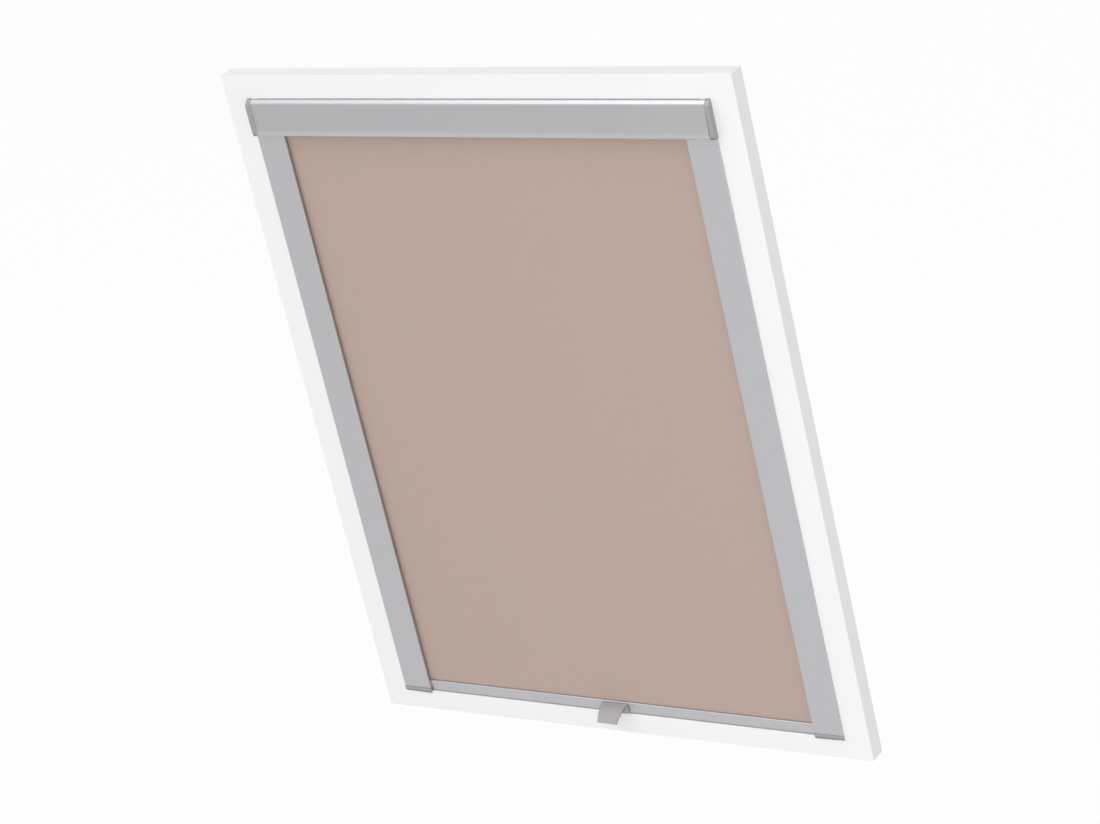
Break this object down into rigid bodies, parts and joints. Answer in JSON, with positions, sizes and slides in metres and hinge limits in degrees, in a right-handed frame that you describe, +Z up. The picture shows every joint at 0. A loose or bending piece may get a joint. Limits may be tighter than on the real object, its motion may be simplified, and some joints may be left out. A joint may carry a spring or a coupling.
{
  "type": "skylight window blind",
  "caption": "Spring roller blind for a skylight in its white surround: cassette, side rails, fabric sheet, bottom bar with a pull handle; the bar slides up and the roller winds.",
  "frame": {"origin": "middle of the sill's back face, where the surround lies on what holds it", "axes": "+X to the right across the window seen from the room, +Y from the room into the wall, +Z up along the blind"},
  "size_m": [0.676, 0.0663, 0.8351],
  "materials": {
    "white_paint": "white satin paint on timber",
    "anodised_aluminium": "satin anodised",
    "cover_aluminium": "brushed and satin anodised",
    "cap_plastic": "satin grey",
    "dark_plastic": "satin dark grey",
    "handle_plastic": "satin light grey",
    "inner_plastic": "moulded, plain",
    "steel": "zinc plated",
    "spring_steel": "oiled spring steel",
    "felt": "dense felt",
    "blind_cloth": "plain woven blackout cloth"
  },
  "bodies": {
    "window": {"surround_head": "white_paint", "surround_sill": "white_paint", "surround_jamb_left": "white_paint", "surround_jamb_right": "white_paint", "cassette_front_cover": "cover_aluminium", "cassette_back_profile": "anodised_aluminium", "cassette_end_cap_left": "cap_plastic", "mounting_bracket_left": "steel", "bracket_screw_left_1": "steel", "bracket_screw_left_2": "steel", "side_rail_left": "anodised_aluminium", "rail_end_cap_left": "dark_plastic", "rail_screw_left_1": "steel", "rail_screw_left_2": "steel", "rail_screw_left_3": "steel", "cassette_end_cap_right": "cap_plastic", "mounting_bracket_right": "steel", "bracket_screw_right_1": "steel", "bracket_screw_right_2": "steel", "side_rail_right": "anodised_aluminium", "rail_end_cap_right": "dark_plastic", "rail_screw_right_1": "steel", "rail_screw_right_2": "steel", "rail_screw_right_3": "steel", "spring_shaft": "steel", "spring_anchor_collar": "dark_plastic", "torsion_spring": "spring_steel", "fabric_sheet": "blind_cloth"},
    "roller": {"roller_tube": "anodised_aluminium", "roller_idler_plug": "inner_plastic", "roller_idler_pin": "steel", "roller_bearing_plug": "inner_plastic", "spring_drive_plug": "inner_plastic", "fabric_on_roller": "blind_cloth"},
    "bar": {"bottom_bar": "anodised_aluminium", "fabric_edge_rod": "inner_plastic", "pull_handle": "handle_plastic", "handle_screw_left": "steel", "bar_slider_left": "inner_plastic", "brake_pad_left": "felt", "brake_spring_left": "spring_steel", "handle_screw_right": "steel", "bar_slider_right": "inner_plastic", "brake_pad_right": "felt", "brake_spring_right": "spring_steel"}
  },
  "joints": [
    {"name": "bar_slide", "type": "slide", "parent": "window", "child": "bar", "axis": [0, 0, 1], "range_m": [0, 0.72], "deforming": ["fabric_sheet"]},
    {"name": "roller_spin", "type": "hinge", "parent": "window", "child": "roller", "pos_m": [0, -0.02237, 0.7642], "axis": [-1, 0, 0], "range_deg": [0, 2730]}
  ],
  "couplings": [
    {"joint": "roller_spin", "follows": "bar_slide", "rad_per_m": 66.116}
  ]
}
